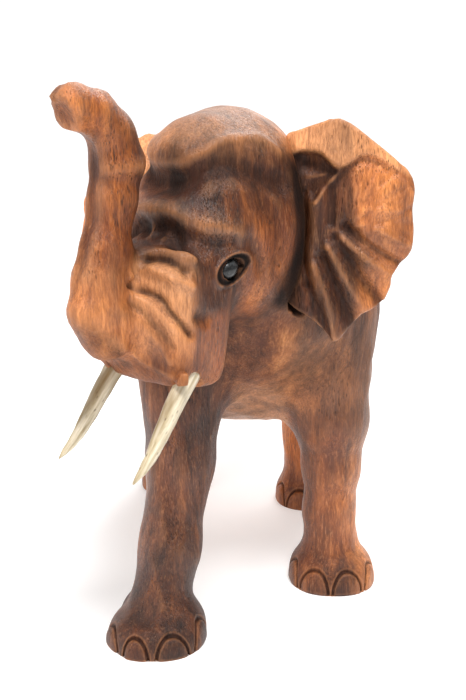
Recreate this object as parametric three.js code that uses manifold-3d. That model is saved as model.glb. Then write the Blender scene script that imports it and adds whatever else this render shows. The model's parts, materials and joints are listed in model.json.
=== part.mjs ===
// Carved wooden elephant with a raised trunk, let-in ears, pegged tusks and inlaid eyes.
// Millimetres, +Z up. The elephant faces -Y and its left side is +X.
// The animal is one carved block. Its skin is contoured from blended ellipsoids and tapered limbs,
// then the grooves, sockets and soles are cut with exact solids.
import * as THREE from "three";
import { mergeVertices } from "three/addons/utils/BufferGeometryUtils.js";
import Module from "manifold-3d";

const wasm = await Module();
wasm.setup();

/* ---------- driving dimensions ---------- */

const GAP = 0.3; // clearance between pieces that touch
const HEAD_TURN = THREE.MathUtils.degToRad(-40); // the head looks to the animal's right
const HEAD_PIVOT = new THREE.Vector3(-18.6, -140, 0);

// Grid planes used to contour the carved block: finer where the head and trunk are.
const GRID_X = gridPlanes([[-108, 100, 23]]);
const GRID_Y = gridPlanes([[-242, -130, 14], [-130, 146, 22]]);
const GRID_Z = gridPlanes([[-34, 40, 8], [40, 180, 12], [180, 320, 20]]);

// Masses of the body, in the animal's own axes.
const BARREL = { centre: [0, 14, 178], radii: [83, 112, 84], squareness: 2.7 };
const CHEST = { centre: [-1, -76, 192], radii: [60, 46, 55], squareness: 2 };
const NAPE = { centre: [-8, -112, 240], radii: [33, 42, 50], squareness: 2.8 };
const THROAT = [[0, -86, 200, 54], [-12, -124, 230, 36]];
const TAIL = [[0, 119, 228, 8], [4, 130, 190, 7.5], [8, 129, 150, 7], [9, 119, 120, 7]];
const TAIL_TUFT = { centre: [9, 113, 104], radii: [10, 10, 19], squareness: 2 };

// Masses of the head, in the head's own axes.
const CRANIUM = { centre: atHead(0, 0, 243), radii: [34, 42, 49], squareness: 2.2 };
const FACE = [atHead(8, 0, 232, 31), atHead(34, 0, 203, 27)];
const MUZZLE_BLOCK = { centre: atHead(41, 0, 198), radii: [31.5, 20, 32], squareness: 6 };
const FOREHEAD_HOLLOW = { centre: atHead(42, 0, 264), radii: [30, 10, 10], squareness: 2 };
const BROW = { forward: 28, out: 17, up: 240, radii: [11, 10, 8] };
const TRUNK = [
  atHead(35, 0, 200, 25), atHead(57, 0, 196, 18), atHead(73, 0, 197, 13.5), atHead(81, 0, 206, 12),
  atHead(79.5, 0, 218, 11.2), atHead(76, 0, 231, 10.7), atHead(70.5, 0, 253, 10.6), atHead(67, 0, 270, 11),
  atHead(70, 0, 282, 10), atHead(80, 0, 291.5, 9.2), atHead(93, 0, 294.5, 10.3),
];
const TRUNK_MOUTH = { forward: 110, up: 284, radius: 16 };

// Each ear's root on the head, its sweep back from straight out, and how far its foot leans forward.
// The right ear is on the inside of the turned neck, so it flares forward to clear the shoulder.
const EARS = {
  left: { side: 1, back: 32, out: 22, drop: 0, sweep: 30, lean: 0 },
  right: { side: -1, back: 24, out: 32, drop: 10, sweep: -25, lean: 15 },
};
const EAR_THICKNESS = 8.5;
const EAR_ROOT_TOP = 281;
const EAR_CLEARANCE = 2.5; // open crevice round the part of the ear sunk in the head
const EAR_MIDDLE = [26, 236];
const EAR_FOLD_CENTRE = [14, 236];
const EAR_FOLD_COUNT = 4;
const EAR_FOLD_DEPTH = 2.4;
const EAR_LENGTH = 66; // from the root to the outer rim
const EAR_DISH = 6;
const EAR_FLARE = 5;

const DOWEL_RADIUS = 2.5;
const DOWEL_LENGTH = 24;
const DOWEL_IN_EAR = 10;
const DOWEL_HEIGHT = 232;

const TUSK = { forward: 44, out: 24, top: 172, width: 12, depth: 9.5 };
const TUSK_TENON_RADIUS = 3.6;
const TUSK_TENON_LENGTH = 16;
const TUSK_RECESS_MARGIN = 0.6; // open ring round the tusk's oval root
const TUSK_RECESS_LENGTH = 24;

const EYE = { forward: 24, out: 28.2, up: 219, radius: 5.2 };
const EYE_SLANT = THREE.MathUtils.degToRad(20);
const EYE_HOLLOW = { length: 9, height: 5, depth: 4.5, outset: 4.5 }; // half-sizes of the almond

// A toenail is a small mound on the edge of the foot, tipped back at the top.
const TOENAIL = { depth: 4.5, width: 9.6, height: 12, tip: -0.35, inset: 3.2, middle: 6 };

/* ---------- materials ---------- */

function woodMaterial() {
  return new THREE.MeshStandardMaterial({ color: 0x8a6548, roughness: 0.55, metalness: 0 });
}

function earWoodMaterial() {
  return new THREE.MeshStandardMaterial({ color: 0x9a6a42, roughness: 0.55, metalness: 0 });
}

function boneMaterial() {
  return new THREE.MeshStandardMaterial({ color: 0xe6dcc0, roughness: 0.35, metalness: 0 });
}

function beadMaterial() {
  return new THREE.MeshStandardMaterial({ color: 0x2b2a28, roughness: 0.12, metalness: 0 });
}

function dowelMaterial() {
  return new THREE.MeshStandardMaterial({ color: 0xc29a68, roughness: 0.7, metalness: 0 });
}

/* ---------- distance fields, negative inside ---------- */

// A ball stretched to three radii. Above 2, squareness pushes its sides out toward a box.
function ellipsoidField(p, { centre, radii, squareness }) {
  const local = [0, 1, 2].map((axis) => Math.abs(p[axis] - centre[axis]) / radii[axis]);
  const power = local.reduce((sum, value) => sum + value ** squareness, 0);
  const size = Math.max(power ** (1 / squareness), 1e-6);
  const slopes = local.map((value, axis) => (value / size) ** (squareness - 1) / radii[axis]);
  return (size - 1) / Math.max(Math.hypot(...slopes), 1e-6);
}

// A straight limb from one ball to another of a different radius.
function limbField(p, from, to, fromRadius, toRadius) {
  const along = [to[0] - from[0], to[1] - from[1], to[2] - from[2]];
  const reach = [p[0] - from[0], p[1] - from[1], p[2] - from[2]];
  const lengthSquared = along[0] ** 2 + along[1] ** 2 + along[2] ** 2;
  const dot = reach[0] * along[0] + reach[1] * along[1] + reach[2] * along[2];
  const share = Math.min(Math.max(dot / lengthSquared, 0), 1);
  const away = reach.map((value, axis) => value - share * along[axis]);
  return Math.hypot(...away) - THREE.MathUtils.lerp(fromRadius, toRadius, share);
}

// A chain of limbs through points written [x, y, z, radius].
function chainField(p, stops, softness) {
  let field = Infinity;
  for (let i = 1; i < stops.length; i++) {
    const from = stops[i - 1];
    const to = stops[i];
    field = blend(field, limbField(p, from, to, from[3], to[3]), softness);
  }
  return field;
}

function blend(a, b, softness) {
  if (a === Infinity) return b;
  const overlap = Math.max(softness - Math.abs(a - b), 0) / softness;
  return Math.min(a, b) - overlap * overlap * softness * 0.25;
}

function carve(solid, tool, softness) {
  return -blend(-solid, tool, softness);
}

// The same point in the head's own axes: x to the animal's left, y backward, z up.
function toHead(p) {
  const x = p[0] - HEAD_PIVOT.x;
  const y = p[1] - HEAD_PIVOT.y;
  const cos = Math.cos(HEAD_TURN);
  const sin = Math.sin(HEAD_TURN);
  return [cos * x + sin * y, -sin * x + cos * y, p[2]];
}

// Head points are easier to read as forward, left and up.
function atHead(forward, left, up, ...rest) {
  return [left, -forward, up, ...rest];
}

/* ---------- the animal's anatomy ---------- */

// Each leg runs from the body to its ankle.
const FRONT_LEFT_LEG = [
  [45, -62, 170, 33], [51.5, -66, 108, 22.5], [52.5, -66, 76, 17], [52, -66, 50, 15], [53, -66, 26, 17.5],
];
const FRONT_RIGHT_LEG = [
  [-36, -90, 168, 31], [-39.5, -110, 96, 18.5], [-45, -123, 52, 16.5], [-51, -133, 24, 17.5],
];
const HIND_LEFT_LEG = [
  [42, 74, 155, 38], [49, 68, 98, 25], [50.7, 66, 55, 20], [50.7, 66, 26, 20],
];
const HIND_RIGHT_LEG = [
  [-44, 82, 155, 38], [-51, 92, 98, 25], [-55, 95, 55, 20], [-55, 95, 26, 20],
];
const FEET = [
  { centre: [54.2, -65.5], radii: [27, 27, 22], toesFace: -96, toes: 4 },
  { centre: [-53.2, -136.5], radii: [29, 29, 22], toesFace: -90, toes: 4 },
  { centre: [50.7, 66], radii: [26.5, 27, 22], toesFace: -90, toes: 4 },
  { centre: [-55, 95], radii: [26.5, 27, 22], toesFace: -90, toes: 4 },
];
const FOOT_SQUARENESS = 2.3;
const FOOT_CENTRE_HEIGHT = 3;
const TOE_SPACING = 46; // degrees round the foot

function torsoField(p) {
  const trunkOfBody = blend(ellipsoidField(p, BARREL), ellipsoidField(p, CHEST), 24);
  const neck = blend(chainField(p, THROAT, 0), ellipsoidField(p, NAPE), 20);
  return blend(trunkOfBody, neck, 24);
}

function legsField(p) {
  const legs = [FRONT_LEFT_LEG, FRONT_RIGHT_LEG, HIND_LEFT_LEG, HIND_RIGHT_LEG];
  return legs.reduce((field, leg) => blend(field, chainField(p, leg, 8), 1), Infinity);
}

function feetField(p) {
  return FEET.reduce((field, foot) => {
    const centre = [foot.centre[0], foot.centre[1], FOOT_CENTRE_HEIGHT];
    const mound = { centre, radii: foot.radii, squareness: FOOT_SQUARENESS };
    return Math.min(field, ellipsoidField(p, mound));
  }, Infinity);
}

// The tail lies against the rump in low relief and ends in a tuft.
function tailField(p) {
  return blend(chainField(p, TAIL, 4), ellipsoidField(p, TAIL_TUFT), 6);
}

function headField(h) {
  const muzzle = blend(chainField(h, FACE, 0), ellipsoidField(h, MUZZLE_BLOCK), 9);
  let head = blend(ellipsoidField(h, CRANIUM), muzzle, 16);
  head = carve(head, ellipsoidField(h, FOREHEAD_HOLLOW), 8);
  for (const side of [-1, 1]) {
    const centre = atHead(BROW.forward, BROW.out * side, BROW.up);
    head = blend(head, ellipsoidField(h, { centre, radii: BROW.radii, squareness: 2 }), 8);
  }
  return blend(head, chainField(h, TRUNK, 5), 14);
}

function blockField(p) {
  const body = blend(torsoField(p), legsField(p), 17);
  const grounded = blend(body, feetField(p), 9);
  const tailed = blend(grounded, tailField(p), 3);
  return blend(tailed, headField(toHead(p)), 18);
}

/* ---------- contouring a field into a closed mesh ---------- */

function gridPlanes(spans) {
  const planes = [spans[0][0]];
  for (const [start, end, count] of spans) {
    for (let i = 1; i <= count; i++) planes.push(THREE.MathUtils.lerp(start, end, i / count));
  }
  return planes;
}

function fieldSlope(field, p) {
  const step = 0.25;
  return [0, 1, 2].map((axis) => {
    const ahead = [...p];
    const behind = [...p];
    ahead[axis] += step;
    behind[axis] -= step;
    return (field(ahead) - field(behind)) / (2 * step);
  });
}

// Slides a point along the field's slope until it lies on the surface.
function settleOnSurface(field, p) {
  for (let round = 0; round < 4; round++) {
    const slope = fieldSlope(field, p);
    const steepness = Math.max(slope[0] ** 2 + slope[1] ** 2 + slope[2] ** 2, 0.05);
    const distance = field(p);
    p = p.map((value, axis) => value - (distance * slope[axis]) / steepness);
  }
  return p;
}

// Surface nets: one vertex for each grid cell the surface passes through, one quad for each
// grid edge it crosses.
function contour(field, xs, ys, zs) {
  const index = (i, j, k) => (i * ys.length + j) * zs.length + k;
  const values = new Float64Array(xs.length * ys.length * zs.length);
  for (let i = 0; i < xs.length; i++) {
    for (let j = 0; j < ys.length; j++) {
      for (let k = 0; k < zs.length; k++) values[index(i, j, k)] = field([xs[i], ys[j], zs[k]]);
    }
  }
  const corner = (i, j, k) => ({ point: [xs[i], ys[j], zs[k]], value: values[index(i, j, k)] });
  const vertexOfCell = new Map();
  const positions = [];

  const addCell = (i, j, k) => {
    const sum = [0, 0, 0];
    let crossings = 0;
    for (let axis = 0; axis < 3; axis++) {
      for (let side = 0; side < 4; side++) {
        const offset = [0, 0, 0];
        offset[(axis + 1) % 3] = side & 1;
        offset[(axis + 2) % 3] = side >> 1;
        const near = corner(i + offset[0], j + offset[1], k + offset[2]);
        offset[axis] = 1;
        const far = corner(i + offset[0], j + offset[1], k + offset[2]);
        if (near.value < 0 === far.value < 0) continue;
        const share = near.value / (near.value - far.value);
        for (let n = 0; n < 3; n++) sum[n] += THREE.MathUtils.lerp(near.point[n], far.point[n], share);
        crossings += 1;
      }
    }
    if (crossings === 0) return;
    vertexOfCell.set(index(i, j, k), positions.length);
    positions.push(settleOnSurface(field, sum.map((value) => value / crossings)));
  };
  for (let i = 0; i < xs.length - 1; i++) {
    for (let j = 0; j < ys.length - 1; j++) {
      for (let k = 0; k < zs.length - 1; k++) addCell(i, j, k);
    }
  }
  return quadsToGeometry(positions, crossedEdges(values, index, vertexOfCell, xs, ys, zs));
}

// The four cells round every grid edge whose two ends lie on different sides of the surface.
function crossedEdges(values, index, vertexOfCell, xs, ys, zs) {
  const counts = [xs.length, ys.length, zs.length];
  const quads = [];
  const visit = (cell, axis) => {
    const next = [...cell];
    next[axis] += 1;
    const inside = values[index(...cell)] < 0;
    if (inside === values[index(...next)] < 0) return;
    const ring = [[0, 0], [-1, 0], [-1, -1], [0, -1]].map(([first, second]) => {
      const neighbour = [...cell];
      neighbour[(axis + 1) % 3] += first;
      neighbour[(axis + 2) % 3] += second;
      return vertexOfCell.get(index(...neighbour));
    });
    quads.push(inside ? ring : ring.reverse());
  };
  for (let i = 1; i < counts[0] - 1; i++) {
    for (let j = 1; j < counts[1] - 1; j++) {
      for (let k = 1; k < counts[2] - 1; k++) {
        for (let axis = 0; axis < 3; axis++) visit([i, j, k], axis);
      }
    }
  }
  return quads;
}

function quadsToGeometry(positions, quads) {
  const distance = (a, b) => Math.hypot(...positions[a].map((value, n) => value - positions[b][n]));
  const faces = [];
  for (const [a, b, c, d] of quads) {
    if (distance(a, c) < distance(b, d)) faces.push(a, b, c, a, c, d);
    else faces.push(a, b, d, b, c, d);
  }
  return makeGeometry(positions.flat(), faces);
}

/* ---------- solids ---------- */

function makeGeometry(positions, faces) {
  const geometry = new THREE.BufferGeometry();
  geometry.setAttribute("position", new THREE.Float32BufferAttribute(positions, 3));
  geometry.setIndex(faces);
  return geometry;
}

function toSolid(geometry) {
  const bare = geometry.clone();
  bare.deleteAttribute("normal");
  bare.deleteAttribute("uv");
  const merged = mergeVertices(bare, 1e-4);
  const vertProperties = new Float32Array(merged.getAttribute("position").array);
  const triVerts = new Uint32Array(merged.index.array);
  return new wasm.Manifold(new wasm.Mesh({ numProp: 3, vertProperties, triVerts }));
}

function toGeometry(solid) {
  const mesh = solid.getMesh();
  const geometry = makeGeometry(mesh.vertProperties, Array.from(mesh.triVerts));
  const creased = geometry.toNonIndexed();
  creased.computeVertexNormals();
  return creased;
}

function cutAll(solid, tools) {
  return tools.reduce((rest, tool) => rest.subtract(toSolid(tool)), solid);
}

function makeMesh(name, geometry, material) {
  const mesh = new THREE.Mesh(geometry, material);
  mesh.name = name;
  return mesh;
}

// A cylinder from one point, along a direction.
function rodGeometry(start, direction, length, radius, segments) {
  const rod = new THREE.CylinderGeometry(radius, radius, length, segments);
  rod.translate(0, length / 2, 0);
  const turn = new THREE.Quaternion().setFromUnitVectors(new THREE.Vector3(0, 1, 0), direction);
  rod.applyQuaternion(turn);
  return rod.translate(start.x, start.y, start.z);
}

function headMatrix() {
  const matrix = new THREE.Matrix4().makeRotationZ(HEAD_TURN);
  return matrix.setPosition(HEAD_PIVOT);
}

/* ---------- ears ---------- */

// The ear's rim in its own flat axes: distance out from the root line, and height.
const EAR_RIM = [
  [0, 281], [11, 286], [24, 289], [40, 278], [51, 270], [60, 263], [65, 247], [64.5, 232], [62, 217],
  [55, 209], [51, 196], [44, 190], [33, 183], [25, 174], [17, 180], [8, 187], [0, 196],
];

function earPlacement(ear) {
  const toRadians = THREE.MathUtils.degToRad;
  const lean = new THREE.Matrix4().makeRotationX(toRadians(-ear.lean));
  lean.multiply(new THREE.Matrix4().makeTranslation(0, 0, -EAR_ROOT_TOP));
  const sweep = new THREE.Matrix4().makeRotationZ(toRadians(ear.sweep));
  sweep.setPosition(ear.out, ear.back, EAR_ROOT_TOP - ear.drop);
  const mirror = new THREE.Matrix4().makeScale(ear.side, 1, 1);
  return mirror.multiply(sweep).multiply(lean);
}

function smoothStep(value, start, end) {
  return THREE.MathUtils.smoothstep(value, start, end);
}

// How far the ear's middle surface bows backward at a point of its flat outline.
function earBow(out, up) {
  const free = smoothStep(out, 4, 26);
  const angle = Math.atan2(up - EAR_FOLD_CENTRE[1], out - EAR_FOLD_CENTRE[0]);
  const reach = Math.hypot(up - EAR_FOLD_CENTRE[1], out - EAR_FOLD_CENTRE[0]);
  const lower = smoothStep(-angle, 0.1, 0.6);
  const folds = Math.sin(angle * EAR_FOLD_COUNT * 2) * EAR_FOLD_DEPTH * smoothStep(reach, 12, 45) * lower;
  const share = out / EAR_LENGTH;
  const dish = EAR_FLARE * share ** 2 - EAR_DISH * Math.sin(Math.PI * Math.min(share, 1));
  return free * (folds + dish);
}

function earThicknessAt(shareToRim) {
  return EAR_THICKNESS * (1 - 0.45 * smoothStep(shareToRim, 0.45, 1));
}

// The rim as points, pushed out from the ear's middle by a margin, closed along the straight root.
function earEdge(margin, rootGap) {
  const spokes = 36;
  const rootSpokes = 8;
  const corners = EAR_RIM.map(([out, up]) => new THREE.Vector3(out, 0, up));
  const rim = new THREE.CatmullRomCurve3(corners, false, "centripetal");
  const edge = rim.getSpacedPoints(spokes).map((point) => [point.x, point.z]);
  for (let i = 1; i < rootSpokes; i++) {
    edge.push([0, THREE.MathUtils.lerp(EAR_RIM.at(-1)[1], EAR_RIM[0][1], i / rootSpokes)]);
  }
  return edge.map(([out, up]) => {
    const reach = Math.hypot(out - EAR_MIDDLE[0], up - EAR_MIDDLE[1]);
    const grown = 1 + margin / reach;
    const pushedOut = out === 0 ? -rootGap : EAR_MIDDLE[0] + (out - EAR_MIDDLE[0]) * grown;
    return [Math.max(pushedOut, -rootGap), EAR_MIDDLE[1] + (up - EAR_MIDDLE[1]) * grown];
  });
}

// A curved leaf: the same rings and spokes on the front and the back, joined round the rim.
// The rim's straight root edge stays flat and full thickness, so it seats in the head.
// With a margin it is the larger shape that clears the head round the ear.
function earGeometry(margin, rootGap) {
  const edge = earEdge(margin, rootGap);
  const rings = 6;
  const positions = [];
  const faces = [];
  const centre = EAR_MIDDLE;
  for (const face of [-1, 1]) {
    positions.push(centre[0], earBow(...centre) + face * (EAR_THICKNESS / 2 + margin), centre[1]);
    for (let ring = 1; ring <= rings; ring++) {
      const share = ring / rings;
      for (const [rimOut, rimUp] of edge) {
        const out = THREE.MathUtils.lerp(centre[0], rimOut, share);
        const up = THREE.MathUtils.lerp(centre[1], rimUp, share);
        const seated = 1 - smoothStep(out, 0, 14);
        const thickness = THREE.MathUtils.lerp(earThicknessAt(share), EAR_THICKNESS, seated);
        positions.push(out, earBow(out, up) + face * (thickness / 2 + margin), up);
      }
    }
  }
  const around = edge.length;
  const sheet = 1 + rings * around;
  const at = (side, ring, spoke) => {
    if (ring === 0) return side * sheet;
    return side * sheet + 1 + (ring - 1) * around + (spoke % around);
  };
  for (const side of [0, 1]) {
    const push = (a, b, c) => (side === 0 ? faces.push(a, b, c) : faces.push(a, c, b));
    for (let spoke = 0; spoke < around; spoke++) {
      push(at(side, 0, 0), at(side, 1, spoke + 1), at(side, 1, spoke));
      for (let ring = 1; ring < rings; ring++) {
        push(at(side, ring, spoke), at(side, ring, spoke + 1), at(side, ring + 1, spoke + 1));
        push(at(side, ring, spoke), at(side, ring + 1, spoke + 1), at(side, ring + 1, spoke));
      }
    }
  }
  for (let spoke = 0; spoke < around; spoke++) {
    const front = [at(0, rings, spoke), at(0, rings, spoke + 1)];
    const back = [at(1, rings, spoke), at(1, rings, spoke + 1)];
    faces.push(front[0], front[1], back[1], front[0], back[1], back[0]);
  }
  return makeGeometry(positions, faces);
}

// The dowel crosses the joint level with the middle of the root edge, along the ear.
function dowelGeometry(radius, extra) {
  const start = new THREE.Vector3(DOWEL_IN_EAR - DOWEL_LENGTH - extra, 0, DOWEL_HEIGHT);
  return rodGeometry(start, new THREE.Vector3(1, 0, 0), DOWEL_LENGTH + 2 * extra, radius, 20);
}

function mirrorSafe(geometry, matrix) {
  const placed = geometry.clone().applyMatrix4(matrix);
  if (matrix.determinant() > 0) return placed;
  const index = placed.index.array;
  for (let i = 0; i < index.length; i += 3) [index[i + 1], index[i + 2]] = [index[i + 2], index[i + 1]];
  return placed;
}

/* ---------- tusks ---------- */

function tuskCurve(side) {
  const { forward, out, top } = TUSK;
  const stops = [
    atHead(forward, out * side, top), atHead(forward + 12.5, (out + 0.5) * side, top - 13.5),
    atHead(forward + 23, (out + 1) * side, top - 26.5), atHead(forward + 32, (out + 1.5) * side, top - 37),
    atHead(forward + 43.5, (out + 2) * side, top - 45.5),
  ];
  return new THREE.CatmullRomCurve3(stops.map((stop) => new THREE.Vector3(...stop)));
}

function tuskAxis(side) {
  return tuskCurve(side).getTangent(0).normalize();
}

// The tusk starts as a round tenon, steps out to its oval root, then tapers along the curve to a
// rounded point.
function tuskGeometry(side) {
  const curve = tuskCurve(side);
  const steps = 11;
  const around = 14;
  const axis = tuskAxis(side);
  const start = curve.getPoint(0);
  const sideways = new THREE.Vector3(1, 0, 0);
  const sections = [];
  const tenonTop = start.clone().addScaledVector(axis, -TUSK_TENON_LENGTH);
  sections.push({ centre: tenonTop, tangent: axis, width: TUSK_TENON_RADIUS, depth: TUSK_TENON_RADIUS });
  sections.push({ centre: start, tangent: axis, width: TUSK_TENON_RADIUS, depth: TUSK_TENON_RADIUS });
  for (let i = 0; i <= steps; i++) {
    const share = i / steps;
    const taper = Math.sqrt(Math.max(1 - share ** 2.6, 0)) * (1 - 0.35 * share);
    const centre = curve.getPoint(share);
    const tangent = curve.getTangent(share);
    const scale = Math.max(taper, 0.09);
    sections.push({ centre, tangent, width: (TUSK.width / 2) * scale, depth: (TUSK.depth / 2) * scale });
  }
  return loftGeometry(sections, around, sideways);
}

// Skins a run of ovals, each square to its tangent, and closes both ends with a flat fan.
function loftGeometry(sections, around, sideways) {
  const positions = [];
  const faces = [];
  for (const { centre, tangent, width, depth } of sections) {
    const across = sideways.clone().addScaledVector(tangent, -sideways.dot(tangent)).normalize();
    const fore = new THREE.Vector3().crossVectors(tangent, across);
    for (let i = 0; i < around; i++) {
      const angle = (i / around) * 2 * Math.PI;
      const point = centre.clone();
      point.addScaledVector(fore, Math.cos(angle) * width).addScaledVector(across, Math.sin(angle) * depth);
      positions.push(...point.toArray());
    }
  }
  for (let ring = 0; ring < sections.length - 1; ring++) {
    for (let i = 0; i < around; i++) {
      const a = ring * around + i;
      const b = ring * around + ((i + 1) % around);
      faces.push(a, a + around, b, b, a + around, b + around);
    }
  }
  const last = (sections.length - 1) * around;
  for (let i = 1; i < around - 1; i++) {
    faces.push(0, i, i + 1);
    faces.push(last, last + i + 1, last + i);
  }
  return makeGeometry(positions, faces);
}

function tuskSocketTools(side) {
  const axis = tuskAxis(side);
  const root = tuskCurve(side).getPoint(0);
  const up = axis.clone().negate();
  const boreStart = root.clone().addScaledVector(axis, 1);
  const bore = rodGeometry(boreStart, up, TUSK_TENON_LENGTH + 1 + GAP, TUSK_TENON_RADIUS + GAP, 24);
  const recessStart = root.clone().addScaledVector(axis, TUSK_RECESS_LENGTH);
  const recessRadius = TUSK.width / 2 + TUSK_RECESS_MARGIN;
  const recess = rodGeometry(recessStart, up, TUSK_RECESS_LENGTH + GAP, recessRadius, 28);
  return [bore, recess];
}

/* ---------- eyes ---------- */

function eyeCentre(side) {
  return new THREE.Vector3(...atHead(EYE.forward, EYE.out * side, EYE.up));
}

function eyeGeometry(side) {
  const bead = new THREE.SphereGeometry(EYE.radius, 14, 10);
  return bead.translate(...eyeCentre(side).toArray());
}

// The almond hollow is wider than tall, and its front corner dips toward the trunk.
function eyeHollowTools(side) {
  const centre = eyeCentre(side);
  const almond = new THREE.SphereGeometry(1, 16, 12);
  almond.scale(EYE_HOLLOW.depth, EYE_HOLLOW.length, EYE_HOLLOW.height);
  almond.rotateX(EYE_SLANT);
  almond.translate(centre.x + EYE_HOLLOW.outset * side, centre.y, centre.z);
  const socket = new THREE.SphereGeometry(EYE.radius + GAP, 14, 10);
  socket.translate(...centre.toArray());
  return [almond, socket];
}

/* ---------- soles and toenails ---------- */

function groundGeometry() {
  return new THREE.BoxGeometry(400, 600, 60).translate(0, 0, -30);
}

function toenailGeometries(foot) {
  const nails = [];
  for (let toe = 0; toe < foot.toes; toe++) {
    const turn = (toe - (foot.toes - 1) / 2) * TOE_SPACING;
    const angle = THREE.MathUtils.degToRad(foot.toesFace + turn);
    const nail = new THREE.SphereGeometry(1, 8, 6);
    nail.scale(TOENAIL.depth, TOENAIL.width, TOENAIL.height);
    nail.rotateY(TOENAIL.tip);
    nail.translate(foot.radii[0] - TOENAIL.inset, 0, TOENAIL.middle);
    nail.rotateZ(angle);
    nail.translate(foot.centre[0], foot.centre[1], 0);
    nails.push(nail);
  }
  return nails;
}

/* ---------- the carved block ---------- */

function trunkMouthGeometry() {
  const hollow = new THREE.SphereGeometry(TRUNK_MOUTH.radius, 20, 16);
  return hollow.translate(...atHead(TRUNK_MOUTH.forward, 0, TRUNK_MOUTH.up));
}

function carvedBlock() {
  let block = toSolid(contour(blockField, GRID_X, GRID_Y, GRID_Z));
  for (const foot of FEET) {
    for (const nail of toenailGeometries(foot)) block = block.add(toSolid(nail));
  }
  const head = headMatrix();
  const headTools = [trunkMouthGeometry()];
  for (const ear of Object.values(EARS)) {
    const place = earPlacement(ear);
    headTools.push(...tuskSocketTools(ear.side), ...eyeHollowTools(ear.side));
    headTools.push(mirrorSafe(earGeometry(EAR_CLEARANCE, GAP), place));
    headTools.push(mirrorSafe(dowelGeometry(DOWEL_RADIUS + GAP, GAP), place));
  }
  block = cutAll(block, headTools.map((tool) => tool.applyMatrix4(head)));
  block = block.subtract(toSolid(groundGeometry()));
  return makeMesh("carved_body", toGeometry(block), woodMaterial());
}

function earMesh(name, ear) {
  const place = earPlacement(ear);
  const leaf = toSolid(mirrorSafe(earGeometry(0, 0), place));
  const bore = toSolid(mirrorSafe(dowelGeometry(DOWEL_RADIUS + GAP, GAP), place));
  return makeMesh(name, toGeometry(leaf.subtract(bore)), earWoodMaterial());
}

function dowelMesh(name, ear) {
  const dowel = mirrorSafe(dowelGeometry(DOWEL_RADIUS, 0), earPlacement(ear));
  return makeMesh(name, dowel, dowelMaterial());
}

function tuskMesh(name, side) {
  return makeMesh(name, tuskGeometry(side), boneMaterial());
}

function eyeMesh(name, side) {
  return makeMesh(name, eyeGeometry(side), beadMaterial());
}

/* ---------- assembly ---------- */

const elephant = new THREE.Group();
elephant.add(carvedBlock());

const head = new THREE.Group();
head.applyMatrix4(headMatrix());
for (const [word, ear] of Object.entries(EARS)) {
  head.add(earMesh(`ear_${word}`, ear));
  head.add(dowelMesh(`ear_dowel_${word}`, ear));
  head.add(tuskMesh(`tusk_${word}`, ear.side));
  head.add(eyeMesh(`eye_${word}`, ear.side));
}
elephant.add(head);

// The origin is the centre of the footprint of the whole piece, on the floor.
elephant.updateMatrixWorld(true);
const bounds = new THREE.Box3().setFromObject(elephant, true);
const middle = bounds.getCenter(new THREE.Vector3());
elephant.position.set(-middle.x, -middle.y, -bounds.min.z);

export default elephant;
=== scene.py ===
"""Looks of the carved wooden elephant: its block, ears, tusks and eyes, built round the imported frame.

Shapes are worked out in millimetres in the block's own axes (the animal faces -Y, its left is +X),
and written to Blender in metres in the frame's axes.
"""

import json
import math

import bmesh
import bpy
import numpy as np
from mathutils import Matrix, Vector
from mathutils.kdtree import KDTree


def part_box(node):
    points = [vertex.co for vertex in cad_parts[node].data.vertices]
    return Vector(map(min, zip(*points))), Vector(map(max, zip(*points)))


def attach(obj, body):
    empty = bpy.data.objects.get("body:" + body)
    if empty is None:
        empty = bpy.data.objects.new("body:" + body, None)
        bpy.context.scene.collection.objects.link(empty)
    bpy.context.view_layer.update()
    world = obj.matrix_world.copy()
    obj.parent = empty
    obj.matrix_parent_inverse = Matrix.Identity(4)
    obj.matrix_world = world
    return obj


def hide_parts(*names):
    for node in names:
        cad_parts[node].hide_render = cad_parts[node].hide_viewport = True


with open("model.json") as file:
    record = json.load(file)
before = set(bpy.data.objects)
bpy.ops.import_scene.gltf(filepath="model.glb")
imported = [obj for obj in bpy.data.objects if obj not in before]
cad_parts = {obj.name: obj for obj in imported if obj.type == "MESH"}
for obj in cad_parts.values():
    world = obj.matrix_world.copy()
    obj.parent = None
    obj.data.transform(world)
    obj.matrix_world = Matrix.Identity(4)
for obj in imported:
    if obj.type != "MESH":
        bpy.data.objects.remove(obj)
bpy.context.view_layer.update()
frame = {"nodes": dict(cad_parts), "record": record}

MM = 0.001
SEED = 7
BLOCK_VOXEL, QUICK_BLOCK_VOXEL = 2.65, 3.0
EAR_VOXEL, QUICK_EAR_VOXEL = 0.95, 1.4
TUSK_VOXEL, QUICK_TUSK_VOXEL = 0.55, 0.8
BEAD_VOXEL = 0.5

# ---------- driving dimensions, in millimetres ----------

# Head, ears, legs, feet and trunk have the part's own sizes, so that the skin settles on the same
# anatomy. The voxels, nail outlines, eye openings and lips are for the looks only.
# A leg's stops are (x, y, height, radius), and the trunk's are (forward, height, radius).

HEAD_TURN = math.radians(-40)
HEAD_PIVOT = np.array([-18.6, -140.0, 0.0])
EYE = {"forward": 24.0, "out": 28.2, "up": 219.0}
EYE_SLANT = math.radians(20)
BEAD_RADIUS = 5.0
BEAD_STRETCH = 1.35  # the bead is a little almond-shaped, along the eye
BEAD_STANDOUT = 0.6  # and sits this far proud of its place in the part
EYE_OPENING_HALF_LENGTH = 9.8
EYE_OPENING_HALF_HEIGHT = 5.8
EARS = {
    "left": {"side": 1, "back": 32, "out": 22, "drop": 0, "sweep": 30, "lean": 0},
    "right": {"side": -1, "back": 24, "out": 32, "drop": 10, "sweep": -25, "lean": 15},
}
EAR_THICKNESS = 8.5
EAR_ROOT_TOP = 281.0
EAR_MIDDLE = np.array([26.0, 236.0])
EAR_FOLD_CENTRE = np.array([14.0, 236.0])
EAR_FOLD_COUNT = 4
EAR_FOLD_DEPTH = 2.4
EAR_LENGTH = 66.0
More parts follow.
